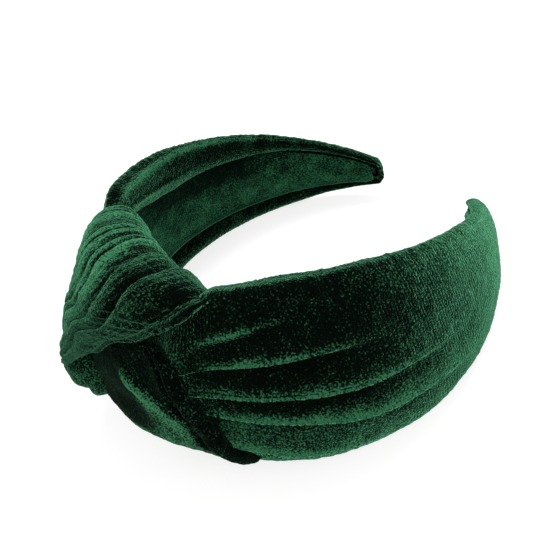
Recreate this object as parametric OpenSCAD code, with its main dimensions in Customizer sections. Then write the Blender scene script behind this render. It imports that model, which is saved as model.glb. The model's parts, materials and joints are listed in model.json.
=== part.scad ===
// Knotted velvet headband, lying on its edge: the knot is towards -Y and the two tips are towards +Y.
// The hoop inside is one springy moulding. It is divided where each arm bends, so that the arms can open.

/* [Band] */
// Radius of the band's middle surface over the crown
crown_radius = 73; // [70:1:78]
// Radius of the band's middle surface along each arm
arm_radius = 88; // [82:1:96]
// Heading at which an arm ends, with 0 at the crown
end_heading = 148; // [142:1:150]
// Height of the band's top edge over the crown
crown_top = 68; // [64:1:72]
// Height of the top edge at the tips
tip_top = 23; // [20:1:26]
// Height of the bottom edge at the tips
tip_bottom = 8; // [6:1:10]
// Height of the bottom edge inside the knot
crown_bottom = 4; // [2:1:5]
// Share of an arm's length at which it starts to taper
taper_start = 0.355; // [0.3:0.005:0.4]
// How suddenly the taper sets in
taper_power = 1.56; // [1.4:0.02:1.8]
// Angle by which the top edge leans in towards the head
lean = 11; // [8:1:13]

/* [Velvet] */
// Thickness of the velvet
velvet = 1.2; // [0.8:0.1:1.4]
// How far the cover bulges outwards from the hoop
bulge = 7.5; // [7:0.5:9]
// The same at the tips
tip_bulge = 3.8; // [3.6:0.1:4.5]
// How far the rolled edges stand in past the hoop
roll_depth = 4; // [3:0.5:5]
// Thickness of the lining strip
lining = 1.1; // [0.8:0.1:1.2]

/* [Hoop] */
// Thickness of the hoop at the crown
hoop = 2; // [1.6:0.1:2.2]
// Thickness of the hoop at the tips
hoop_tip = 1.2; // [1:0.1:1.4]
// Share of the band's width that the hoop takes up
hoop_share = 0.6; // [0.5:0.05:0.65]

/* [Knot] */
// How far the big fold stands out from the band's middle surface
knot_out = 22.5; // [20:0.5:24]
// Half width of the gathered velvet inside the knot
gather_half = 26.5; // [25:0.5:27]
// Bulge of the gathered velvet inside the knot
gather_bulge = 8.5; // [8:0.5:9]
// Thickness of the gathered velvet
gather_wall = 3; // [2.5:0.5:3.5]

/* [Joints] */
// Heading at which the arms bend
bend_heading = 50; // [50:1:54]
// Gap left at the bend, as an angle of the crown's arc
bend_gap = 1.6; // [1.4:0.1:2]

/* [Hidden] */
// Clearance between pieces that lie on each other
gap = 0.2;
// How far the bottom edge is pressed flat where it rests
pressed = 1.2;
// Heading up to which the velvet is gathered to its least width, and the radius of its rolled edges there
knot_reach = 34;
gather_roll = 6.5;
// Length and inner depth of the folded end of an arm
tip_length = 4.2;
tip_depth = 2.4;
crown_arc = crown_radius * PI / 2;
band_arc = crown_arc + arm_radius * (end_heading - 90) * PI / 180;
arm_start = bend_heading + bend_gap / 2;
crown_end = bend_heading - bend_gap / 2;
velvet_dark = "#1f4a33";
velvet_deep = "#17402b";
plastic_black = "#202022";
foam_grey = "#c9c6bd";
thread_green = "#2c5a40";

// Share of an arm's length at a heading
function share(h) =
    (h <= 90 ? h * crown_radius : 90 * crown_radius + (h - 90) * arm_radius) * PI / 180 / band_arc;

// Height of the top and bottom edges at a heading, and half of the width between them
function top_edge(h) =
    crown_top - (crown_top - tip_top)
    * pow(max(0, min(1, (share(h) - taper_start) / (1 - taper_start))), taper_power);
function bottom_edge(h) =
    crown_bottom * pow(max(0, 1 - share(h) / 0.45), 2)
    + tip_bottom * pow(max(0, share(h) - 0.5) / 0.5, 2) - pressed;
function half(h) = (top_edge(h) - bottom_edge(h)) / 2 / cos(lean);

// Thicknesses that change along an arm
function cover_bulge(h) = bulge - (bulge - tip_bulge) * max(0, (share(h) - 0.55) / 0.45);
function hoop_wall(h) = hoop - (hoop - hoop_tip) * share(h);
// The edge's roll shrinks with the band, so that the lining fits between the two rolls
function roll(h) = min(7, 0.224 * half(h));
function depth(h) = max(2, roll_depth * roll(h) / 7);

// A point of the band: heading, distance out from the middle surface, and place across the width.
// A negative heading is on the left arm.
function place(h, u, v) =
    let (
        a = abs(h),
        side = h < 0 ? -1 : 1,
        centre = a <= 90 ? [0, crown_radius] : [crown_radius - arm_radius, crown_radius],
        out = (a <= 90 ? crown_radius : arm_radius) + u * cos(lean) - v * sin(lean),
        up = (top_edge(a) + bottom_edge(a)) / 2 + v * cos(lean) + u * sin(lean)
    )
    [side * (centre[0] + out * sin(a)), centre[1] - out * cos(a), max(0, up)];

// The outer line of a rolled strip across the band, from one tucked edge to the other, moved in by inset.
// b is its bulge, w its half width, r and d the radius and depth of its rolled edges, e where the tuck ends.
function rolled_line(b, w, r, d, e, inset) =
    let (
        edge = [
            for (t = [160, 120, 85, 45, 10])
                [-max(0, d - inset) * sin(t), w - r + max(0.2, r - inset) * cos(t)]
        ],
        tuck = [-velvet - 0.1 + min(inset, velvet), e],
        face = [for (p = [80:-20:-80]) [(b - inset) * pow(cos(p), 0.85), (w - inset) * sin(p)]]
    )
    concat(
        [tuck], edge, face,
        [for (i = [4:-1:0]) [edge[i][0], -edge[i][1]]], [[tuck[0], -tuck[1]]]
    );

// The line across a flat strip of half width w at height u
function flat_line(u, w) = [for (i = [-3:3]) [u, -w * i / 3]];

// A solid strip that runs through sections: each has its heading, its outer line and its inner line
module strip(sections) {
    n = len(sections[0][1]);
    m = len(sections);
    points = [
        for (s = sections)
            for (line = [s[1], s[2]])
                for (p = line) place(s[0], p[0], p[1])
    ];
    function at(i, side, j) = (i * 2 + side) * n + j;
    quads = concat(
        [for (i = [0:m - 2], j = [0:n - 2]) [at(i, 0, j), at(i, 0, j + 1), at(i + 1, 0, j + 1), at(i + 1, 0, j)]],
        [for (i = [0:m - 2], j = [0:n - 2]) [at(i, 1, j), at(i + 1, 1, j), at(i + 1, 1, j + 1), at(i, 1, j + 1)]],
        [for (i = [0:m - 2]) [at(i, 0, 0), at(i + 1, 0, 0), at(i + 1, 1, 0), at(i, 1, 0)]],
        [for (i = [0:m - 2]) [at(i, 0, n - 1), at(i, 1, n - 1), at(i + 1, 1, n - 1), at(i + 1, 0, n - 1)]],
        [for (j = [0:n - 2]) [at(0, 0, j), at(0, 1, j), at(0, 1, j + 1), at(0, 0, j + 1)]],
        [for (j = [0:n - 2]) [at(m - 1, 0, j), at(m - 1, 0, j + 1), at(m - 1, 1, j + 1), at(m - 1, 1, j)]]
    );
    skin(points, quads);
}

// A solid tube through rings of points. Its ends close on each other, or with a cap each.
module tube(rings, closed) {
    n = len(rings[0]);
    m = len(rings);
    points = [for (r = rings) each r];
    last = closed ? m - 1 : m - 2;
    quads = [
        for (i = [0:last], j = [0:n - 1])
            [i * n + j, i * n + (j + 1) % n, (i + 1) % m * n + (j + 1) % n, (i + 1) % m * n + j]
    ];
    caps = closed ? [] : [[for (j = [n - 1:-1:0]) j], [for (j = [0:n - 1]) (m - 1) * n + j]];
    skin(points, quads, caps);
}

// Splits each quad into two triangles, so that every face is flat
module skin(points, quads, caps = []) {
    triangles = [for (q = quads) each [[q[0], q[2], q[1]], [q[0], q[3], q[2]]]];
    flipped = [for (c = caps) [for (i = [len(c) - 1:-1:0]) c[i]]];
    translate([0, middle_y, 0])
        polyhedron(points, concat(triangles, flipped));
}

// Headings from a to b in about n steps
function headings(a, b, n) = [for (i = [0:n]) a + (b - a) * i / n];

// Sections of the hoop, the lining and the sponge
function hoop_section(h) =
    [h, flat_line(hoop_wall(abs(h)), half(abs(h)) * hoop_share), flat_line(0, half(abs(h)) * hoop_share)];
// The lining lies clear of the tucked velvet, and is narrower inside the knot
function lining_section(h) =
    let (
        u = -velvet - 2 * gap,
        k = ease((abs(h) - knot_reach) / (crown_end - knot_reach)),
        narrow = gather_half - 2 * gather_roll - 1,
        w = narrow + (half(abs(h)) * (hoop_share - 0.04) - narrow) * k
    )
    [h, flat_line(u, w), flat_line(u - lining, w)];
function sponge_section(h) =
    let (
        w = half(h) * hoop_share,
        b = cover_bulge(h) - velvet - gap,
        low = hoop_wall(h) + gap,
        line = [for (i = [3:-1:-3]) w * i / 3]
    )
    [
        h,
        [for (v = line) [low + 0.4 + (b - low - 0.4) * pow(1 - pow(v / half(h), 2), 0.8), v]],
        [for (v = line) [low, v]]
    ];

// Sections of the velvet, over an arm and gathered inside the knot
function tuck_end(h) = half(h) * hoop_share - 2 - 0.16 * half(h);
function cover_section(h) =
    [
        h,
        rolled_line(cover_bulge(h), half(h), roll(h), depth(h), tuck_end(h), 0),
        rolled_line(cover_bulge(h), half(h), roll(h), depth(h), tuck_end(h), velvet)
    ];
function ease(t) = let (x = max(0, min(1, t))) x * x * (3 - 2 * x);
function gather_section(h) =
    let (
        a = abs(h),
        k = ease((a - knot_reach) / (crown_end - knot_reach)),
        w = gather_half + (half(a) - gather_half) * k,
        b = gather_bulge + (bulge - gather_bulge) * k,
        e = tuck_end(crown_end) - 4 * (1 - k)
    )
    [
        h,
        rolled_line(b, w, gather_roll, roll_depth, e, 0),
        rolled_line(b, w, gather_roll, roll_depth, e, gather_wall)
    ];

// A ring of the knot: centred at a heading, out and across, half wide along the band, thick across it.
// The thickness runs in the direction turn, with 0 outwards and 90 up. It is thinner towards the left by skew.
function knot_ring(h, u, v, half_wide, thick, turn, sides, skew = 0) =
    [
        for (i = [0:sides - 1])
            let (
                a = 360 * i / sides,
                t = thick / 2 * sin(a) * (1 + skew * cos(a))
            )
            place_near(h + half_wide * cos(a), u + t * cos(turn), v + t * sin(turn))
    ];
// The same as place, but smooth over the crown, where a heading changes sign
function place_near(h, u, v) =
    let (
        out = crown_radius + u * cos(lean) - v * sin(lean),
        up = (top_edge(0) + bottom_edge(0)) / 2 + v * cos(lean) + u * sin(lean)
    )
    [out * sin(h), crown_radius - out * cos(h), max(0, up)];

// A smooth swelling of the knot round the band, centred at angle c and about w wide, for an angle up to 360
function swell(p, c, w) =
    let (d = (p - c + 540) % 360 - 180)
    exp(-pow(d / w, 2));

// The line round the gathered velvet that the knot's pieces follow. Angle 0 is outwards and 90 is up.
function round_u(p, thick) =
    2 + cos(p) * (cos(p) > 0 ? gather_bulge - 1.2 + thick / 2 : roll_depth + 2.5 + thick / 2);
function round_v(p, thick) = sin(p) * (gather_half + 0.5 + thick / 2);
function round_turn(p) = atan2(sin(p) * (gather_bulge + 6), cos(p) * gather_half);

// The big fold goes right round the band. It is a fan: wide over the top edge, narrow underneath.
wrap_least = 4.5;
wrap_most = knot_out - gather_bulge - 0.5 - wrap_least;
wrap_rings = [
    for (p = [0:15:345])
        let (
            up = max(0, sin(p)),
            down = max(0, -sin(p)),
            thick = wrap_least + wrap_most * swell(p, -5, 40) + 10 * swell(p, 108, 38),
            start = -16 - 28 * up + 8 * down,
            end = 12 + 33 * up - 8 * down,
            half_wide = (end - start) / 2
        )
        knot_ring(end - half_wide, round_u(p, thick), round_v(p, thick), half_wide, thick, round_turn(p), 14, 0.35)
];

// Rings of the folded end of an arm
tip_rings = [
    for (t = [0:0.2:1])
        let (
            h = end_heading + 0.15 + t * tip_length / arm_radius * 180 / PI,
            k = sqrt(1 - 0.94 * t * t)
        )
        [
            for (a = [0:22.5:337.5])
                place(h, (cos(a) > 0 ? tip_bulge : tip_depth) * k * cos(a), half(end_heading) * k * sin(a))
        ]
];

// The whole part is moved along Y by this much, so that its box is centred on the origin
middle_y = -(max([for (r = tip_rings) for (p = r) p[1]]) + min([for (r = wrap_rings) for (p = r) p[1]])) / 2;

module hoop_crown() {
    color(plastic_black)
        strip([for (h = headings(-crown_end, crown_end, 16)) hoop_section(h)]);
}

module hoop_arm(side) {
    color(plastic_black)
        mirror([side < 0 ? 1 : 0, 0, 0])
            strip([for (h = headings(arm_start, end_heading - 0.6, 20)) hoop_section(h)]);
}

module sponge(side) {
    color(foam_grey)
        mirror([side < 0 ? 1 : 0, 0, 0])
            strip([for (h = headings(arm_start, end_heading - 10, 18)) sponge_section(h)]);
}

module cover(side) {
    color(velvet_dark)
        mirror([side < 0 ? 1 : 0, 0, 0])
            strip([for (h = headings(arm_start, end_heading, 22)) cover_section(h)]);
}

module lining_part(from, to, side) {
    color(velvet_deep)
        mirror([side < 0 ? 1 : 0, 0, 0])
            strip([for (h = headings(from, to, 18)) lining_section(h)]);
}

module gather(side) {
    color(velvet_deep)
        mirror([side < 0 ? 1 : 0, 0, 0])
            strip([for (h = headings(0.15, crown_end, 10)) gather_section(h)]);
}

module knot_wrap() {
    color(velvet_dark)
        tube(wrap_rings, true);
}

// The strap comes out from under the big fold, runs down over the right arm's root and turns in under the bottom edge
module knot_strap() {
    thick = 4.4;
    from = 30;
    to = -110;
    rings = [
        for (p = [from:-10:to])
            let (across = sin(180 * (from - p) / (from - to)))
            knot_ring(
                27 - 10 * across, round_u(p, thick), round_v(p, thick), 9 + 9 * across, thick, round_turn(p), 12
            )
    ];
    color(velvet_dark)
        tube(rings, false);
}

// A small rolled end of the fold that peeps out under the knot
module knot_loop(h, u, v, half_wide, high) {
    rings = [
        for (t = [-0.95:0.19:0.95])
            let (grow = sqrt(1 - t * t))
            knot_ring(h, u - 2.5 * t, v + high * t, half_wide * grow, 9 * grow, 10, 12)
    ];
    color(velvet_dark)
        tube(rings, false);
}

module knot_loop_upper() {
    knot_loop(-10, 15, -20, 7, 5.5);
}

module knot_loop_lower() {
    knot_loop(-2, 12.5, -24, 6, 5.5);
}

// Three small stitches that hold the big fold to the gathered velvet underneath
module knot_tack() {
    color(thread_green)
        for (h = [-6:6:6])
            translate(place(h, gather_bulge + 0.2, 4) + [0, middle_y, 0])
                rotate([90, 0, 0])
                    rotate_extrude($fn = 24)
                        translate([1.4, 0])
                            circle(r = 0.3, $fn = 16);
}

// The end of an arm, where the velvet is folded over the hoop and tucked in
module tip_fold(side) {
    color(velvet_dark)
        mirror([side < 0 ? 1 : 0, 0, 0])
            tube(tip_rings, false);
}

hoop_crown();
hoop_arm(-1);  // hoop_arm_left
hoop_arm(1);  // hoop_arm_right
sponge(-1);  // sponge_left
sponge(1);  // sponge_right
cover(-1);  // cover_left
cover(1);  // cover_right
lining_part(-crown_end, crown_end, 1);  // lining_crown
lining_part(arm_start, end_heading - 1, -1);  // lining_left
lining_part(arm_start, end_heading - 1, 1);  // lining_right
gather(-1);  // gather_left
gather(1);  // gather_right
knot_wrap();
knot_strap();
knot_loop_upper();
knot_loop_lower();
knot_tack();
tip_fold(-1);  // tip_fold_left
tip_fold(1);  // tip_fold_right
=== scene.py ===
import json
import math
import bpy
import numpy as np
from mathutils import Matrix, Vector


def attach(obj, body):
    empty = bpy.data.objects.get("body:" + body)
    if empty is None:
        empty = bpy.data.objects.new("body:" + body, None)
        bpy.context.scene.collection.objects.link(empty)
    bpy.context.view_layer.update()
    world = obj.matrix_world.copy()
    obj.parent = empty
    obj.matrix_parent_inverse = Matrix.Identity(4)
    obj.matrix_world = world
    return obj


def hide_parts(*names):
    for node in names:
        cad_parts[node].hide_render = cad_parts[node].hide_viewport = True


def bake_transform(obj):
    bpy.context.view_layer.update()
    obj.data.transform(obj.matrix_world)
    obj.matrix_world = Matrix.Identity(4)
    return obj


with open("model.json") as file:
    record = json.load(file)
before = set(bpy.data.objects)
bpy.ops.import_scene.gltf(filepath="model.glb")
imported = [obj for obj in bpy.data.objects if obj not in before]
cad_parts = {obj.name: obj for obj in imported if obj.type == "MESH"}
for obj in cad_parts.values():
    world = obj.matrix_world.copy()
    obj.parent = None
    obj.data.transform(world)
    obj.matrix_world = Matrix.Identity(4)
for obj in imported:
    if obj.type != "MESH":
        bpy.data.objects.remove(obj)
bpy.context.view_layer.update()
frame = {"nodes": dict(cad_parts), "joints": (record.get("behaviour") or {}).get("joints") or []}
bpy.ops.object.select_all(action="DESELECT")

# ---- Table, light and camera -------------------------------------------------------------------------------
# The headband lies on its lower edge on a white table, in an even, bright light tent with a soft lamp above
# it and another beside it. The camera stands close, above the right arm, and is tilted about its own axis.
table_size = 6.0
bpy.ops.mesh.primitive_plane_add(size=table_size, location=(0, 0, 0))
table = bpy.context.object
table.name = "table"
paper = bpy.data.materials.new("white_table")
paper.use_nodes = True
paper_shader = paper.node_tree.nodes["Principled BSDF"]
paper_shader.inputs["Base Color"].default_value = (0.4, 0.4, 0.398, 1)
paper_shader.inputs["Emission Color"].default_value = (1.0, 1.0, 0.995, 1)
paper_shader.inputs["Emission Strength"].default_value = 0.72
paper_shader.inputs["Roughness"].default_value = 0.9
paper_shader.inputs["Specular IOR Level"].default_value = 0.1
table.data.materials.append(paper)

tent = bpy.data.worlds.new("light_tent")
tent.use_nodes = True
tent.node_tree.nodes["Background"].inputs["Color"].default_value = (1.0, 1.0, 1.0, 1)
tent.node_tree.nodes["Background"].inputs["Strength"].default_value = 0.85
bpy.context.scene.world = tent
bpy.context.scene.view_settings.view_transform = "Standard"


def soft_lamp(name, place, aim, size, power):
    """A square soft lamp that looks at a point."""
    data = bpy.data.lights.new(name, "AREA")
    data.size = size
    data.energy = power
    lamp = bpy.data.objects.new(name, data)
    lamp.location = place
    lamp.rotation_euler = (Vector(aim) - Vector(place)).to_track_quat("-Z", "Y").to_euler()
    bpy.context.scene.collection.objects.link(lamp)


soft_lamp("lamp_above", (-0.25, 0.35, 0.9), (0, 0, 0.03), 0.5, 9.0)
soft_lamp("lamp_side", (0.9, 0.5, 0.5), (0, 0, 0.03), 0.5, 3.0)

camera_heading, camera_height, camera_roll = math.radians(70.0), math.radians(38.9), math.radians(-19.7)
camera_distance = 0.200
camera_aim = Vector((0.0168, -0.0070, 0.0340))
camera_lens = 33.96
back = Vector((
    math.sin(camera_heading) * math.cos(camera_height),
    -math.cos(camera_heading) * math.cos(camera_height),
    math.sin(camera_height),
))
level_right = Vector((math.cos(camera_heading), math.sin(camera_heading), 0))
level_up = back.cross(level_right)
right = level_right * math.cos(camera_roll) + level_up * math.sin(camera_roll)
up = back.cross(right)
lens = bpy.data.cameras.new("camera")
lens.lens = camera_lens
lens.sensor_width = 36.0
lens.clip_start = 0.01
camera = bpy.data.objects.new("camera", lens)
camera.matrix_world = Matrix((right, up, back)).transposed().to_4x4()
camera.location = camera_aim + back * camera_distance
bpy.context.scene.collection.objects.link(camera)
bpy.context.scene.camera = camera

# ---- Hoop --------------------------------------------------------------------------------------------------
# A springy strip of black moulded plastic, bent into a horseshoe. It is hidden between the velvet and the
# lining, and keeps the frame's own shape.
plastic = bpy.data.materials.new("hoop_plastic")
plastic.use_nodes = True
nodes, links = plastic.node_tree.nodes, plastic.node_tree.links
shader = nodes["Principled BSDF"]
shader.inputs["Base Color"].default_value = (0.02, 0.02, 0.022, 1)
shader.inputs["Roughness"].default_value = 0.42
place_node = nodes.new("ShaderNodeTexCoord")
flow = nodes.new("ShaderNodeTexNoise")
flow.inputs["Scale"].default_value = 900
ripple = nodes.new("ShaderNodeBump")
ripple.inputs["Strength"].default_value = 0.15
ripple.inputs["Distance"].default_value = 0.0002
links.new(place_node.outputs["Object"], flow.inputs["Vector"])
links.new(flow.outputs["Fac"], ripple.inputs["Height"])
links.new(ripple.outputs["Normal"], shader.inputs["Normal"])
for name in ("hoop_crown", "hoop_arm_left", "hoop_arm_right"):
    frame["nodes"][name].data.materials.clear()
    frame["nodes"][name].data.materials.append(plastic)

# ---- Velvet covers -----------------------------------------------------------------------------------------
# Each arm has its own strip of crushed polyester velvet. It is cut flat, laid over the sponge and the hoop,
# rolled round both edges and glued down inside. Towards the knot it is pulled together into long pleats.

# The pile is short, nearly black where it faces you and bright green along every edge. It is fine grain, and
# where it was pressed it lies in cloudy patches.
# The base colour also takes a painted sheen: a lit green mixed into the near-black pile where the painted light
# and shade, a random cloud and the grain add up high, so the grain shows as painted glints.
grain_size = 0.0006
cloud_size = 0.007
rib_pitch = 0.00115
pile_shade = (0.0003, 0.0016, 0.0008)
pile_sheen = (0.24, 0.92, 0.48)
pile_tight = 0.225
pile_lift = 0.0007


def pile_group():
    """Node group. It takes a point in metres, its place along the ribs, its painted light and shade with random
    patches, and two colours, the pile's own deep colour and a painted sheen colour. It gives the pile's colour
    with painted highlights and glints, its height and its roughness."""
    group = bpy.data.node_groups.new("velvet_pile", "ShaderNodeTree")
    sockets = {
        "INPUT": (("Point", "Vector"), ("Rib", "Float"), ("PaintedLightAndPatches", "Float"), ("Deep", "Color"), ("PaintedSheen", "Color")),
        "OUTPUT": (("Color", "Color"), ("Height", "Float"), ("Rough", "Float")),
    }
    for way, listed in sockets.items():
        for name, kind in listed:
            group.interface.new_socket(name, in_out=way, socket_type="NodeSocket" + kind)
    n, k = group.nodes, group.links
    given, made = n.new("NodeGroupInput"), n.new("NodeGroupOutput")

    def noise(size, detail):
        texture = n.new("ShaderNodeTexNoise")
        texture.inputs["Scale"].default_value = 1 / size
        texture.inputs["Detail"].default_value = detail
        k.new(given.outputs["Point"], texture.inputs["Vector"])
        return texture.outputs["Fac"]

    def sums(first, factor, second):
        step = n.new("ShaderNodeMath")
        step.operation = "MULTIPLY_ADD"
        k.new(first, step.inputs[0])
        step.inputs[1].default_value = factor
        if isinstance(second, float):
            step.inputs[2].default_value = second
        else:
            k.new(second, step.inputs[2])
        return step.outputs["Value"]

    grain, cloud = noise(grain_size, 2.0), noise(cloud_size, 4.0)
    # The painted sheen colour shows where painted light and shade, cloud and grain add up high: painted
    # highlights and glints.
    painted_light_level = sums(given.outputs["PaintedLightAndPatches"], 0.36, sums(cloud, 0.30, sums(grain, 1.0, -0.33)))
    painted_light_mask = n.new("ShaderNodeMapRange")
    painted_light_mask.interpolation_type = "SMOOTHSTEP"
    painted_light_mask.inputs["From Min"].default_value = 0.42
    painted_light_mask.inputs["From Max"].default_value = 0.72
    k.new(painted_light_level, painted_light_mask.inputs["Value"])
    mix = n.new("ShaderNodeMix")
    mix.data_type = "RGBA"
    k.new(painted_light_mask.outputs["Result"], mix.inputs["Factor"])
    k.new(given.outputs["Deep"], mix.inputs["A"])
    k.new(given.outputs["PaintedSheen"], mix.inputs["B"])
    k.new(mix.outputs["Result"], made.inputs["Color"])
    turns = sums(given.outputs["Rib"], 2 * math.pi / rib_pitch, 0.0)
    wave = n.new("ShaderNodeMath")
    wave.operation = "SINE"
    k.new(turns, wave.inputs[0])
    k.new(sums(wave.outputs["Value"], 0.08, sums(cloud, 1.2, grain)), made.inputs["Height"])
    rough = n.new("ShaderNodeMapRange")
    rough.inputs["To Min"].default_value = 1.0
    rough.inputs["To Max"].default_value = 0.7
    k.new(painted_light_mask.outputs["Result"], rough.inputs["Value"])
    k.new(rough.outputs["Result"], made.inputs["Rough"])
    return group


pile = pile_group()


def velvet(name, painted_sheen_colour, tint, tight, lift, sheen):
    """A velvet finish, with a painted sheen colour that its base colour takes where painted light falls, its
    sheen's tint and roughness, the height of its grain, and the sheen's weight. It reads the place along the
    ribs from a piece's UV map, and its painted light and shade, with random patches, from a point attribute."""
    material = bpy.data.materials.new(name)
    material.use_nodes = True
    n, k = material.node_tree.nodes, material.node_tree.links
    shader = n["Principled BSDF"]
    shader.inputs["Specular IOR Level"].default_value = 0.03
    shader.inputs["Sheen Weight"].default_value = sheen
    shader.inputs["Sheen Tint"].default_value = (*tint, 1)
    shader.inputs["Sheen Roughness"].default_value = tight
    where = n.new("ShaderNodeTexCoord")
    cut = n.new("ShaderNodeSeparateXYZ")
    painted_light_and_patches = n.new("ShaderNodeAttribute")
    painted_light_and_patches.attribute_name = "painted_light_and_patches"
    group = n.new("ShaderNodeGroup")
    group.node_tree = pile
    group.inputs["Deep"].default_value = (*pile_shade, 1)
    group.inputs["PaintedSheen"].default_value = (*painted_sheen_colour, 1)
    bump = n.new("ShaderNodeBump")
    bump.inputs["Strength"].default_value = 1.0
    bump.inputs["Distance"].default_value = lift
    k.new(where.outputs["Object"], group.inputs["Point"])
    k.new(where.outputs["UV"], cut.inputs["Vector"])
    k.new(cut.outputs["X"], group.inputs["Rib"])
    k.new(painted_light_and_patches.outputs["Fac"], group.inputs["PaintedLightAndPatches"])
    k.new(group.outputs["Color"], shader.inputs["Base Color"])
    k.new(group.outputs["Rough"], shader.inputs["Roughness"])
    k.new(group.outputs["Height"], bump.inputs["Height"])
    k.new(bump.outputs["Normal"], shader.inputs["Normal"])
    return material


def painted_light_and_cut(cloth, painted_light_and_patches, along, across):
    """Writes a cloth's painted light and shade, with its random patches, as a point attribute, and its UV map
    in metres along and across the ribs.
    """
    layer = cloth.data.attributes.new("painted_light_and_patches", "FLOAT", "POINT")
    layer.data.foreach_set("value", np.ascontiguousarray(np.clip(painted_light_and_patches, 0, 1), dtype=np.float32).ravel())
    corner = np.zeros(len(cloth.data.loops), dtype=np.int32)
    cloth.data.loops.foreach_get("vertex_index", corner)
    place = np.stack([np.broadcast_to(part, painted_light_and_patches.shape).ravel() for part in (along, across)], 1)
    uv = np.ascontiguousarray(place[corner], dtype=np.float32).ravel()
    cloth.data.uv_layers.active.data.foreach_set("uv", uv)


# Its lit green is a painted sheen colour.
cover_velvet = velvet("cover_velvet", (0.028, 0.135, 0.062), pile_sheen, pile_tight, pile_lift, 1.0)

# Headings run from 0 at the crown to 148 at a tip, and are negative on the left arm.
joint = {j["name"]: j for j in frame["joints"]}
bend = np.array(joint["arm_right_flex"]["pos_m"])
bend_heading = 50.0
end_heading = 148.0
crown_radius = bend[0] / math.sin(math.radians(bend_heading))
arm_radius = crown_radius * 88 / 73
crown_y = bend[1] - crown_radius * (1 - math.cos(math.radians(bend_heading)))
lean = math.radians(11.0)
crown_top, top_drop, top_curve = 0.068, 0.045, 1.56
top_level_share = 0.355
crown_rise, tip_rise, pressed = 0.004, 0.008, 0.0012
table_gap = 0.0002
arm_length = math.radians(90 * crown_radius + (end_heading - 90) * arm_radius)
tuck_width, tuck_depth = 0.003, 0.0011
gathered_half, gathered_run = 0.0255, 0.02
velvet_thickness = 0.001


def share(h):
    """Share of an arm's length at a heading."""
    h = np.abs(h)
    run = np.where(h < 90, h * crown_radius, 90 * crown_radius + (h - 90) * arm_radius)
    return np.radians(run) / arm_length


def thinning(h):
    """How much lower the padding gets towards a tip."""
    return 0.0037 * np.clip((share(h) - 0.55) / 0.45, 0, 1)


def top_edge(h):
    """Height of the band's top edge, level near the crown and then falling towards the tip."""
    falling = np.clip((share(h) - top_level_share) / (1 - top_level_share), 0, 1)
    return crown_top - top_drop * falling ** top_curve


def bottom_edge(h):
    """Height of its bottom edge, which rises at the crown and at the tip and is pressed flat between."""
    at_crown = crown_rise * np.clip(1 - share(h) / 0.45, 0, 1) ** 2
    at_tip = tip_rise * np.clip((share(h) - 0.5) / 0.5, 0, None) ** 2
    return at_crown + at_tip - pressed


def half_width(h):
    """Half of the band's width across its slope."""
    return (top_edge(h) - bottom_edge(h)) / 2 / math.cos(lean)


def on_band(h, u, v):
    """Points at a heading, a distance out from the hoop's inner face and a place across the width."""
    a = np.radians(np.abs(h))
    first = np.abs(h) < 90
    out = np.where(first, crown_radius, arm_radius) + u * math.cos(lean) - v * math.sin(lean)
    x = np.sign(h) * (np.where(first, 0, crown_radius - arm_radius) + out * np.sin(a))
    y = crown_y + crown_radius - out * np.cos(a)
    z = (top_edge(h) + bottom_edge(h)) / 2 + v * math.cos(lean) + u * math.sin(lean)
    return np.stack(np.broadcast_arrays(x, y, np.maximum(z, table_gap)), -1)


def girth(h, half, bulge, top_reach, top_depth, low_reach, low_depth, count):
    """Lines round the band, one a heading, from the upper tuck over the face to the lower tuck. It gives u,
    v, an angle that is 90 on the top edge and -90 on the bottom one, and the length along the line."""
    turn = np.radians(np.linspace(168, 0, 40))[None, :]
    face = np.radians(np.linspace(90, -90, 121)[1:-1])[None, :]

    def roll(reach, depth):
        return -depth[:, None] * np.sin(turn), (half - reach / 2)[:, None] + reach[:, None] / 2 * np.cos(turn)

    upper_u, upper_v = roll(top_reach, top_depth)
    lower_u, lower_v = roll(low_reach, low_depth)
    face_u = bulge[:, None] * np.cos(face) ** 0.85
    face_v = half[:, None] * np.sin(face)
    tuck_u = np.full((len(h), 1), -tuck_depth)
    u = np.concatenate([tuck_u, upper_u, face_u, lower_u[:, ::-1], tuck_u], 1)
    upper_end = (half - top_reach - tuck_width)[:, None]
    lower_end = -(half - low_reach - tuck_width)[:, None]
    v = np.concatenate([upper_end, upper_v, face_v, -lower_v[:, ::-1], lower_end], 1)
    angle = np.concatenate([
        [262], 90 + np.degrees(turn[0]), np.degrees(face[0]), -90 - np.degrees(turn[0][::-1]), [-262]
    ])
    length = np.concatenate([np.zeros((len(h), 1)), np.cumsum(np.hypot(np.diff(u), np.diff(v)), 1)], 1)
    even = np.linspace(0, 1, count)
    rows = [
        [np.interp(even * s[-1], s, line) for line in (a, b, angle, s)]
        for a, b, s in zip(u, v, length)
    ]
    u, v, angle, length = (np.array([r[i] for r in rows]) for i in range(4))
    return u, v, angle, length


def ease(x, low=0.0, high=1.0):
    """0 below low, 1 above high, and smooth between."""
    t = np.clip((x - low) / (high - low), 0, 1)
    return t * t * (3 - 2 * t)


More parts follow.
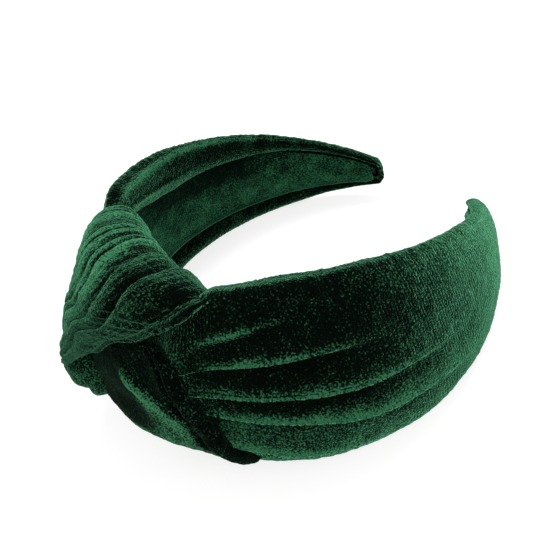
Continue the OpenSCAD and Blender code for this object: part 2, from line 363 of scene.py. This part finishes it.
def pleat(h, angle, length, first, last, start, end, bow, width, height):
    """Height, downward push, and painted light of one pleat, a painted highlight on its crest and painted shade
    in the valley below it, from heading first at angle start to last at angle end. Its upper side is a long
    slope, and its lower side turns under, with a valley below it."""
    along = np.clip((h - first) / (last - first), 0, 1)
    line = start + (end - start) * along ** bow
    crest = np.array([np.interp(-a, -row, s) for a, row, s in zip(line, angle, length)])
    x = (crest[:, None] - length) / width
    strength = (ease(along, 0, 0.12) * (1 - ease(along, 0.45, 1)))[:, None]
    above = np.exp(-1.1 * np.clip(x, 0, None) ** 1.5)
    below = np.exp(-(x / 0.34) ** 2) * 1.12 - 0.12 * np.exp(-((x + 0.9) / 0.4) ** 2)
    rise = strength * height * np.where(x > 0, above, below)
    push = strength * height * 0.9 * np.exp(-((x - 0.05) / 0.36) ** 2)
    painted_shading = strength * (1.0 * np.exp(-((x - 0.02) / 0.2) ** 2) - 0.9 * np.exp(-((x + 0.6) / 0.38) ** 2))
    return rise, push, painted_shading


def cloudy(size, step, seed):
    """Smooth random values from -1 to 1, changing over step rows and columns."""
    rng = np.random.default_rng(seed)
    rows, columns = (max(3, int(round(n / step)) + 2) for n in size)
    coarse = rng.uniform(-1, 1, (rows, columns))
    fine_c = np.linspace(0, columns - 1.001, size[1])
    fine_r = np.linspace(0, rows - 1.001, size[0])
    ci, ri = fine_c.astype(int), fine_r.astype(int)
    ct, rt = ease(fine_c - ci), ease(fine_r - ri)
    across = coarse[:, ci] * (1 - ct) + coarse[:, ci + 1] * ct
    return across[ri] * (1 - rt)[:, None] + across[ri + 1] * rt[:, None]


def raise_cloth(points, height, push, side):
    """Moves a cloth's points out along their normals by height, and down across the cloth by push."""
    along, down = np.gradient(points, axis=0), np.gradient(points, axis=1)
    normal = np.cross(down, along) * side
    normal /= np.linalg.norm(normal, axis=2, keepdims=True) + 1e-12
    down /= np.linalg.norm(down, axis=2, keepdims=True) + 1e-12
    moved = points + normal * height[..., None] + down * push[..., None]
    moved[..., 2] = np.maximum(moved[..., 2], table_gap)
    return moved


def laid_grid(name, points, turned):
    """A smooth grid with its vertices on an array of points, row by row, and its outer side turned or not."""
    rows, columns = points.shape[:2]
    bpy.ops.mesh.primitive_grid_add(x_subdivisions=columns - 1, y_subdivisions=rows - 1, size=1)
    piece = bpy.context.object
    piece.name = name
    piece.data.name = name
    piece.data.vertices.foreach_set("co", np.ascontiguousarray(points, dtype=np.float32).ravel())
    piece.data.update()
    if turned:
        piece.data.flip_normals()
    piece.data.shade_smooth()
    return piece


def cover(name, side, pleats, top_roll, creases, painted_light_of, seed):
    """One arm's velvet, from inside the knot to the tip."""
    rows, tip_rows, columns = 250, 14, 156
    beyond = 1.9 * np.sin(np.linspace(0.1, 1.57, tip_rows))
    h = np.concatenate([np.linspace(6, end_heading, rows - tip_rows), end_heading + beyond])
    close = np.sqrt(np.clip(1 - ((h - end_heading) / 1.95).clip(0) ** 2, 0.02, 1))
    near_knot, at_tip = 1 - ease(h, 28, 46), ease(h, 128, 143)
    half = (half_width(h) * (1 - near_knot) + gathered_half * near_knot) * close
    bulge = (0.0075 - thinning(h) + 0.001 * near_knot + 0.0014 * at_tip) * close
    top_reach = half * np.interp(h, *top_roll)
    top_depth = np.maximum(0.0018, 0.0055 * top_reach / 0.017) * close
    low_reach = half * 0.34
    low_depth = np.maximum(0.0016, 0.0042 * low_reach / 0.0117) * close
    u, v, angle, length = girth(h, half, bulge, top_reach, top_depth, low_reach, low_depth, columns)
    points = on_band(side * h[:, None], u, v)
    height, push, painted_light_and_patches = np.zeros(u.shape), np.zeros(u.shape), painted_light_of(h[:, None], angle)
    # Each pleat and crease adds its painted highlight and painted shade to the arm's painted light.
    for p in pleats + creases:
        rise, slip, painted_shading = pleat(h, angle, length, *p)
        height += rise
        push += slip
        painted_light_and_patches = painted_light_and_patches + painted_shading * ease(h, 36, 50)[:, None]
    loose = np.clip(arm_length * (1 - share(h)) / 0.02, 0, 1)[:, None]
    height += (cloudy(u.shape, 26, seed) * 0.0004 + cloudy(u.shape, 9, seed + 1) * 0.00016) * loose
    dice = np.random.default_rng(seed + 2)
    height += dice.normal(0, 0.00009, u.shape)
    height += dice.uniform(-0.00025, 0.00025, (rows, 1)) * np.exp(-((angle - 88) / 26) ** 2) * loose
    points = raise_cloth(points, height, push, side)
    cloth = laid_grid(name, points, side < 0)
    # Random patches join the painted light and shade before they are written to the cloth.
    painted_light_and_cut(cloth, painted_light_and_patches + cloudy(u.shape, 22, seed + 3) * 0.12, (share(h) * arm_length)[:, None], length)
    cloth.data.materials.append(cover_velvet)
    return cloth, (float(length[:, -1].mean()), arm_length + gathered_run)


def thicken(cloth, thickness):
    """Gives a cloth its thickness, inwards."""
    bpy.context.view_layer.objects.active = cloth
    solid = cloth.modifiers.new("thickness", "SOLIDIFY")
    solid.thickness = thickness
    solid.offset = -1
    bpy.ops.object.modifier_apply(modifier=solid.name)


# A pleat's first and last heading, first and last angle, bow, width and height.
right_pleats = [
    (30, 66, 38, 50, 1.0, 0.0050, 0.0014),
    (28, 86, 31, 22, 2.0, 0.0055, 0.0030),
    (28, 103, 22, -5, 1.0, 0.0065, 0.0042),
    (28, 110, 8, -36, 1.2, 0.0085, 0.0046),
    (32, 78, -19, -62, 1.2, 0.0075, 0.0032),
    (34, 64, -30, -66, 1.2, 0.0045, 0.0020),
]
left_pleats = [
    (24, 70, 34, 40, 1.0, 0.0050, 0.0014),
    (24, 92, 22, 12, 1.6, 0.0055, 0.0024),
    (24, 98, 8, -12, 1.2, 0.0070, 0.0030),
    (26, 84, -12, -38, 1.2, 0.0060, 0.0024),
    (30, 66, -30, -60, 1.2, 0.0050, 0.0018),
]
# The upper roll's share of the band's half width, by heading.
roll_line = (
    [0, 45, 60, 72, 86, 100, 120, 140, 150],
    [0.34, 0.44, 0.60, 0.64, 0.58, 0.50, 0.36, 0.30, 0.30],
)
left_creases = [(26, 120, 155, 118, 1.0, 0.0060, 0.0018), (24, 90, 205, 190, 1.0, 0.0050, 0.0012)]
right_creases = [(26, 104, 146, 110, 1.0, 0.0050, 0.0010)]


def right_painted_light(h, angle):
    """Painted light for the right arm: painted shade over its upper middle, lighter below it, and lighter still
    towards the tip.
    """
    painted_shade_zone = np.exp(-((h - 62) / 34) ** 2) * ease(angle, -22, 10)
    return 0.42 - 0.42 * painted_shade_zone + 0.22 * ease(h, 95, 130)


def left_painted_light(h, angle):
    """Painted light for the left arm: painted shade over the middle of its outer face, on its inner roll
    towards the tip and in the tucked ends, and lighter where it is rolled inside nearer the knot.
    """
    painted_shade_zone = np.exp(-((h - 70) / 40) ** 2) * ease(angle, -30, 20) * (1 - ease(angle, 90, 120))
    inner = ease(h, 60, 82) * ease(angle, 118, 150)
    tucked = ease(angle, 200, 240) + 1 - ease(angle, -150, -105)
    return 0.42 - 0.38 * painted_shade_zone - 0.32 * inner - 0.3 * tucked


cover_right, right_cut = cover("velvet_right", 1, right_pleats, roll_line, right_creases, right_painted_light, 11)
cover_left, left_cut = cover("velvet_left", -1, left_pleats, roll_line, left_creases, left_painted_light, 31)
zone = 12.0


def bend_with(piece, side):
    """Bakes a piece's placement into its mesh. It works out where the bend zone at that arm's hinge starts and
    ends, but does not use them.
    """
    start = on_band(side * (bend_heading - zone), 0.0, 0.0)
    end = on_band(side * (bend_heading + zone), 0.0, 0.0)
    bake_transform(piece)


for cloth, cut, side, word in ((cover_right, right_cut, 1, "right"), (cover_left, left_cut, -1, "left")):
    thicken(cloth, velvet_thickness)
    bend_with(cloth, side)
    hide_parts("cover_" + word, "gather_" + word, "tip_fold_" + word)

# ---- Linings -----------------------------------------------------------------------------------------------
# Thin flat strips of the same velvet, glued over the tucked edges inside the hoop. They meet under the knot,
# and each runs from there to a tip.
lining_thickness = 0.0008
lining_share, lining_half_at_knot = 0.60, 0.017
# Its lit green is a painted sheen colour.
lining_velvet = velvet("lining_velvet", (0.019, 0.108, 0.047), (0.10, 0.55, 0.28), 0.3, 0.0004, 1.0)


def lining(name, side, seed):
    """One arm's lining: a strip that is a little crowned, with its edges turned down to the velvet."""
    rows, columns = 230, 60
    h = np.linspace(0.2, end_heading - 1.0, rows)
    across = np.linspace(-1, 1, columns)
    wide = half_width(h) * lining_share * np.sqrt(np.clip((end_heading - h) / 4.0, 0.05, 1))
    near = 1 - ease(h, 30, 50)
    wide = wide * (1 - near) + lining_half_at_knot * near
    v = wide[:, None] * across[None, :]
    u = -0.0016 - 0.0016 * (1 - np.abs(across[None, :]) ** 6)
    points = on_band(side * h[:, None], u, v)
    height = cloudy(v.shape, 14, seed) * 0.00018 + cloudy(v.shape, 5, seed + 1) * 0.00008
    height += np.random.default_rng(seed + 2).normal(0, 0.00004, v.shape)
    points = raise_cloth(points, -height, np.zeros(v.shape), side)
    strip = laid_grid(name, points, side > 0)
    # Painted light and shade: painted shade over the upper half in the middle of the arm, under the rolled top
    # edge, and in the crease along the lower edge, and a little lighter towards the tip.
    painted_light_and_patches = 0.50 - 0.75 * ease(across, 0.0, 0.55)[None, :] * np.exp(-((h[:, None] - 78) / 34) ** 2)
    painted_light_and_patches = painted_light_and_patches - 0.5 * np.exp(-((across[None, :] + 0.95) / 0.14) ** 2)
    painted_light_and_patches = painted_light_and_patches + 0.1 * ease(h, 90, 120)[:, None] + cloudy(v.shape, 12, seed + 3) * 0.14
    painted_light_and_cut(strip, painted_light_and_patches, (share(h) * arm_length)[:, None], v)
    strip.data.materials.append(lining_velvet)
    return strip, (float(2 * wide.mean()), arm_length)


lining_right, lining_right_cut = lining("lining_right_velvet", 1, 51)
lining_left, lining_left_cut = lining("lining_left_velvet", -1, 61)
for strip, cut, side, word in (
    (lining_right, lining_right_cut, 1, "right"), (lining_left, lining_left_cut, -1, "left")
):
    thicken(strip, lining_thickness)
    bend_with(strip, side)
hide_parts("lining_right")
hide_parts("lining_left", "lining_crown")

# ---- Sponge ------------------------------------------------------------------------------------------------
# A thin crowned strip of foam on each arm, between the hoop and the velvet. It is glued to the hoop and fills
# the cover out.
foam_thickness = 0.001
foam = bpy.data.materials.new("sponge_foam")
foam.use_nodes = True
nodes, links = foam.node_tree.nodes, foam.node_tree.links
shader = nodes["Principled BSDF"]
shader.inputs["Roughness"].default_value = 0.95
place_node = nodes.new("ShaderNodeTexCoord")
cells = nodes.new("ShaderNodeTexVoronoi")
cells.inputs["Scale"].default_value = 1400
# The pits of the cells are painted darker: painted shade in the pores.
painted_shading = nodes.new("ShaderNodeMix")
painted_shading.data_type = "RGBA"
painted_shading.inputs["A"].default_value = (0.32, 0.30, 0.26, 1)
painted_shading.inputs["B"].default_value = (0.62, 0.60, 0.54, 1)
pits = nodes.new("ShaderNodeBump")
pits.inputs["Strength"].default_value = 0.6
pits.inputs["Distance"].default_value = 0.0003
links.new(place_node.outputs["Object"], cells.inputs["Vector"])
links.new(cells.outputs["Distance"], painted_shading.inputs["Factor"])
links.new(painted_shading.outputs["Result"], shader.inputs["Base Color"])
links.new(cells.outputs["Distance"], pits.inputs["Height"])
links.new(pits.outputs["Normal"], shader.inputs["Normal"])
for word, side in (("left", -1), ("right", 1)):
    h = np.linspace(52, end_heading - 10, 60)
    across = np.linspace(-0.95, 0.95, 16)
    crown = np.clip(0.0072 - thinning(h) - 0.0030, 0.0024, None)
    v = half_width(h)[:, None] * 0.56 * across[None, :]
    points = on_band(side * h[:, None], crown[:, None] * (1 - 0.35 * across[None, :] ** 2), v)
    pad = laid_grid("sponge_strip_" + word, points, side < 0)
    thicken(pad, foam_thickness)
    pad.data.materials.append(foam)
    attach(pad, "arm_" + word)
    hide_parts("sponge_" + word)

# ---- Strap -------------------------------------------------------------------------------------------------
# The end of the right arm's velvet. It comes out from under the big fold, runs down over the arm's root and
# turns in under the lower edge. It is one layer with a rolled edge, a slanting ridge and a hollow below it.
knot_half = 0.026
knot_bulge = 0.0073
knot_depth = 0.0065
knot_gap, fold_gap = 0.0004, 0.0003
knot_underside = ([15, 33, 45, 50], [0.033, 0.0295, 0.0305, 0.032])


def smooth_rows(table, count):
    """Resamples a table's rows on a smooth curve through them, evenly along it."""
    table = np.asarray(table, float)
    padded = np.concatenate([2 * table[:1] - table[1:2], table, 2 * table[-1:] - table[-2:-1]])
    t = np.linspace(0, len(table) - 1.0001, count)
    i = t.astype(int)
    f = (t - i).reshape((-1,) + (1,) * (table.ndim - 1))
    a, b, c, d = padded[i], padded[i + 1], padded[i + 2], padded[i + 3]
    square, cube = 2 * a - 5 * b + 4 * c - d, 3 * b - 3 * c + d - a
    return 0.5 * (2 * b + (c - a) * f + square * f ** 2 + cube * f ** 3)


def round_band(h, p, rise):
    """Points over the gathered velvet inside the knot, at a heading and a girth angle in degrees, which is 0
    outwards, 90 on the top edge and 180 inside, and raised by rise."""
    angle = np.radians(p)
    c, s = np.cos(angle), np.sin(angle)
    u = 0.002 + c * np.where(c > 0, knot_bulge, knot_depth)
    v = s * np.where(s > 0, knot_half, np.interp(h, *knot_underside))
    nu, nv = c * knot_half, s * (knot_bulge + 0.006)
    size = np.hypot(nu, nv)
    u, v = u + rise * nu / size, v + rise * nv / size
    a = np.radians(h)
    out = crown_radius + u * math.cos(lean) - v * math.sin(lean)
    middle = (float(top_edge(0)) + float(bottom_edge(0))) / 2
    z = middle + v * math.cos(lean) + u * math.sin(lean)
    y = crown_y + crown_radius - out * np.cos(a)
    return np.stack(np.broadcast_arrays(out * np.sin(a), y, np.maximum(z, knot_gap)), -1)


def fold_ridges(place, edges, sharp):
    """Rounded folds side by side: 1 on each crest and 0 in the creases between them, which are at edges."""
    i = np.clip(np.searchsorted(edges, place) - 1, 0, len(edges) - 2)
    f = (place - edges[i]) / (edges[i + 1] - edges[i])
    f = np.clip(f, 0, 1) ** 0.55
    return (1 - np.abs(2 * f - 1) ** 2.2) ** sharp, edges[i + 1] - edges[i]


def knot_cloth(name, lines, section, rows, columns, folds, seed, finish, downwards=False):
    """A piece of the knot. Each line holds its left heading, girth angle and rise, how far it domes between its
    edges, and the right heading, girth angle and rise. The section is points across it, each a share of its
    width and of its rise. folds gives the folds' height and their painted light and shade for a share across
    and a share along. Lines that run downwards have their outer side turned round."""
    line = smooth_rows(lines, rows)
    profile = smooth_rows(section, 400)
    step = np.hypot(np.diff(profile[:, 0]), np.diff(profile[:, 1]) * 0.22)
    run = np.concatenate([[0], np.cumsum(step)])
    even = np.linspace(0, run[-1], columns)
    x = np.interp(even, run, profile[:, 0])[None, :]
    k = np.interp(even, run, profile[:, 1])[None, :]
    left, right_side = line[:, None, :3], line[:, None, 4:]
    mixed = left + (right_side - left) * x[..., None]
    inside = np.clip(x, 0, 1)
    over_top = ease(mixed[..., 1], 70, 100)
    near, far = 1.5 - 0.7 * over_top, 0.6 + 0.4 * over_top
    crown = (near / (near + far)) ** near * (far / (near + far)) ** far
    dome = line[:, None, 3] * inside ** near * (1 - inside) ** far / crown
    points = round_band(mixed[..., 0], mixed[..., 1], (mixed[..., 2] + dome) * k * 0.001)
    size = points.shape[:2]
    t = np.linspace(0, 1, rows)[:, None]
    fold_height, painted_light_and_patches = folds(x + 0 * t, t + 0 * x)
    height = fold_height * ease(k, 0.3, 0.85)
    height += cloudy(size, 16, seed) * 0.00035 + cloudy(size, 6, seed + 1) * 0.00016
    height += np.random.default_rng(seed + 2).normal(0, 0.00007, size)
    along, over = np.gradient(points, axis=0), np.gradient(points, axis=1)
    normal = np.cross(along, over) if downwards else np.cross(over, along)
    normal /= np.linalg.norm(normal, axis=2, keepdims=True) + 1e-12
    points = points + normal * height[..., None]
    points[..., 2] = np.maximum(points[..., 2], fold_gap)
    cloth = laid_grid(name, points, downwards)
    down_steps = np.linalg.norm(np.diff(points, axis=0), axis=2)
    over_steps = np.linalg.norm(np.diff(points, axis=1), axis=2)
    over_run = np.concatenate([np.zeros((rows, 1)), np.cumsum(over_steps, 1)], 1)
    painted_light_and_cut(cloth, painted_light_and_patches + cloudy(size, 18, seed + 3) * 0.15, over_run, t * 0.1)
    cloth.data.materials.append(finish)
    return cloth, (float(over_steps.sum(1).mean()), float(down_steps.sum(0).mean()))


# A copy of the velvet with almost no sheen, painted shade for the strap under the big fold, with a brighter
# painted sheen colour for its lit ridge.
painted_shade_strap_velvet = velvet("painted_shade_strap_velvet", (0.045, 0.205, 0.095), pile_sheen, pile_tight, pile_lift, 0.06)
# A copy of the velvet with less sheen, painted shade over the big fold and the loops.
painted_shade_knot_velvet = velvet("painted_shade_knot_velvet", (0.032, 0.155, 0.070), pile_sheen, pile_tight, pile_lift, 0.6)
strap_lines = [
    (5, 40, 2, 0, 31, 42, 3.5),
    (3, 20, 5, 0, 35, 30, 4.5),
    (0, 0, 6, 0, 37, 12, 5.5),
    (-2, -17, 7, 0, 39.5, -7, 5.2),
    (-2, -30, 7.5, 0, 41, -21, 5),
    (0, -42, 7.5, 0, 42, -36, 4.5),
    (9, -56, 5.2, 0, 43.5, -52, 3.5),
    (18, -74, 2.5, 0, 44.5, -72, 2.5),
    (26, -95, 2.5, 0, 45, -96, 2),
    (28, -125, 2, 0, 45, -125, 2),
    (27, -150, 1, 0, 44, -150, 1),
]
strap_section = [
    (0.06, 0.0), (0.0, 0.4), (0.015, 0.8), (0.07, 1.0), (0.35, 1.0), (0.6, 1.0), (0.8, 1.0), (0.93, 1.2),
    (0.985, 1.05), (1.0, 0.6), (0.985, 0.15), (0.94, 0.0),
]


def strap_folds(x, t):
    """A ridge slants across it, with a hollow under its start, and its right edge is rolled behind a crease.
    Its painted light is a highlight on the ridge, along its left edge and over its lower part, with painted
    shade in the hollow and the crease.
    """
    crest = 0.17 + 0.45 * (x - 0.58)
    ridge = np.exp(-((t - crest) / 0.026) ** 2) * ease(x, 0.48, 0.6) * (1 - ease(x, 0.84, 0.92))
    hollow = np.exp(-((x - 0.43) / 0.13) ** 2 - ((t - 0.32) / 0.06) ** 2)
    crease = np.exp(-((x - 0.9) / 0.025) ** 2)
    rolled = np.exp(-((x - 0.96) / 0.05) ** 2)
    height = 0.0024 * ridge - 0.0024 * hollow - 0.0022 * crease + 0.0012 * rolled
    below = ease(t - crest, 0.0, 0.06) * ease(x, 0.52, 0.68) + ease(t, 0.4, 0.54)
    painted_light_and_patches = 0.9 * ridge - 0.9 * hollow + 0.7 * np.minimum(below, 1) * (1 - ease(x, 0.82, 0.9))
    return height, painted_light_and_patches + 0.5 * np.exp(-(x / 0.05) ** 2) - 0.3 * crease


strap, strap_cut = knot_cloth(
    "knot_strap_velvet", strap_lines, strap_section, 190, 170, strap_folds, 71, painted_shade_strap_velvet, downwards=True
)
thicken(strap, velvet_thickness)
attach(strap, "crown")
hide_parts("knot_strap")

# ---- Loops -------------------------------------------------------------------------------------------------
# Two small rolled ends of the velvet that are pushed through under the big fold and peep out below it.
loop_section = [
    (0.12, 0.0), (0.0, 0.3), (0.03, 0.75), (0.2, 1.0), (0.5, 1.12), (0.8, 1.0), (0.97, 0.75), (1.0, 0.3),
    (0.88, 0.0),
]


def loop_folds(x, t):
    """One soft crease across a loop, with painted shade in it."""
    crease = np.exp(-((x - 0.6) / 0.08) ** 2)
    return -0.0008 * crease, 0.45 - 0.4 * crease


upper_loop_lines = [
    (-9, 4, 4, 0, 2, 6, 4), (-10, -2, 10, 3, 3, 0, 11), (-9, -12, 11.5, 3, 4, -10, 12),
    (-7, -22, 10, 3, 4, -20, 10), (-5, -28, 1, 0, 3, -26, 1),
]
lower_loop_lines = [
    (-8, -6, 4, 0, 4, -4, 4), (-8, -13, 8, 2, 5, -11, 8), (-7, -23, 8.5, 3, 6, -21, 8.5),
    (-4, -31, 7, 3, 5, -29, 6.5), (-2, -35, 1, 0, 3, -33, 1),
]
for name, lines, seed in (("upper", upper_loop_lines, 81), ("lower", lower_loop_lines, 91)):
    loop, loop_cut = knot_cloth(
        "knot_loop_velvet_" + name, lines, loop_section, 60, 70, loop_folds, seed, painted_shade_knot_velvet,
        downwards=True,
    )
    thicken(loop, velvet_thickness)
    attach(loop, "crown")
    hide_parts("knot_loop_" + name)

# ---- Big fold ----------------------------------------------------------------------------------------------
# The end of the left arm's velvet goes over the strap, round the whole band and back down inside. It is
# gathered to a nose at the lower front, and from there its folds fan out over the top edge.
wrap_lines = [
    (-9, -8, 1, 0, -3, -6, 2),
    (-13, -11, 6, 2, -0.5, -5, 7),
    (-16, -10, 8, 3, 1, -4, 11),
    (-18.5, -5, 7.5, 3.5, 2.5, -1, 12.5),
    (-21, 4, 5.5, 4, 8.5, 13, 10),
    (-23, 18, 3.5, 4.5, 15, 25, 8),
    (-25, 32, 2, 4.5, 21, 40, 7.5),
    (-27, 46, 1, 4.5, 28.5, 49, 6.5),
    (-29, 62, 0.5, 5, 35, 62, 6.5),
    (-32, 78, 1, 6.5, 41, 76, 6),
    (-35, 95, 2.5, 10, 45.5, 94, 5.5),
    (-39, 118, 6.5, 13, 46.5, 118, 5),
    (-41, 142, 6.5, 12, 46, 142, 4),
    (-39, 165, 1, 2, 45, 165, 1),
]
wrap_section = [
    (0.03, 0.0), (0.0, 0.3), (0.012, 0.75), (0.04, 0.95), (0.15, 1.0), (0.5, 1.0), (0.8, 1.0), (0.92, 0.99),
    (0.975, 0.92), (1.0, 0.8), (0.985, 0.68), (0.94, 0.62), (0.85, 0.55), (0.7, 0.45),
]
wrap_creases = np.array([-0.2, 0.0, 0.05, 0.13, 0.18, 0.28, 0.33, 0.45, 0.52, 0.66, 0.80, 1.05, 1.3])


def wrap_folds(x, t):
    """Folds that are narrow at the left and broad at the right, and wander a little. Their painted light is a
    highlight on each crest and painted shade in each crease, lighter at the nose and along the right edge
    beside it, and darker over the broad right side and towards the inner end.
    """
    wander = cloudy(x.shape, 34, 101) * 0.034 + 0.04 * np.sin(3.1 * t + 6 * x)
    ridge, wide = fold_ridges(x + wander, wrap_creases, 0.75)
    fine = fold_ridges(x * 1.7 + 0.5 * wander + 0.08 * np.sin(5 * t), np.linspace(-0.4, 2.2, 48), 0.8)[0]
    strength = np.clip(0.8 + 0.55 * cloudy(x.shape, 26, 103), 0.2, 1.6)
    broad = ease(x, 0.55, 0.75)
    painted_light_and_patches = 0.2 - 0.28 * broad + 0.35 * (1 - ease(t, 0.12, 0.36)) + (ridge - 0.5) * (1.5 - 0.8 * broad)
    painted_light_and_patches = painted_light_and_patches - 0.15 * ease(t, 0.7, 0.85)
    painted_light_and_patches = painted_light_and_patches + 0.25 * np.exp(-((x - 0.97) / 0.03) ** 2) * (1 - ease(t, 0.25, 0.45))
    return (ridge - 0.6) * (0.0016 + 0.0125 * wide) * strength + (fine - 0.5) * 0.0004, painted_light_and_patches


wrap, wrap_cut = knot_cloth(
    "knot_wrap_velvet", wrap_lines, wrap_section, 190, 250, wrap_folds, 111, painted_shade_knot_velvet
)
thicken(wrap, velvet_thickness)
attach(wrap, "crown")
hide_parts("knot_wrap")

# ---- Stitches ----------------------------------------------------------------------------------------------
# Three small stitches of green thread hold the big fold to the velvet under it. They are hidden inside the
# knot.
thread = bpy.data.materials.new("sewing_thread")
thread.use_nodes = True
nodes, links = thread.node_tree.nodes, thread.node_tree.links
shader = nodes["Principled BSDF"]
shader.inputs["Base Color"].default_value = (0.01, 0.08, 0.035, 1)
shader.inputs["Roughness"].default_value = 0.6
place_node = nodes.new("ShaderNodeTexCoord")
strands = nodes.new("ShaderNodeTexWave")
strands.inputs["Scale"].default_value = 1500
twist = nodes.new("ShaderNodeBump")
twist.inputs["Distance"].default_value = 0.0001
links.new(place_node.outputs["Object"], strands.inputs["Vector"])
links.new(strands.outputs["Fac"], twist.inputs["Height"])
links.new(twist.outputs["Normal"], shader.inputs["Normal"])
frame["nodes"]["knot_tack"].data.materials.clear()
frame["nodes"]["knot_tack"].data.materials.append(thread)
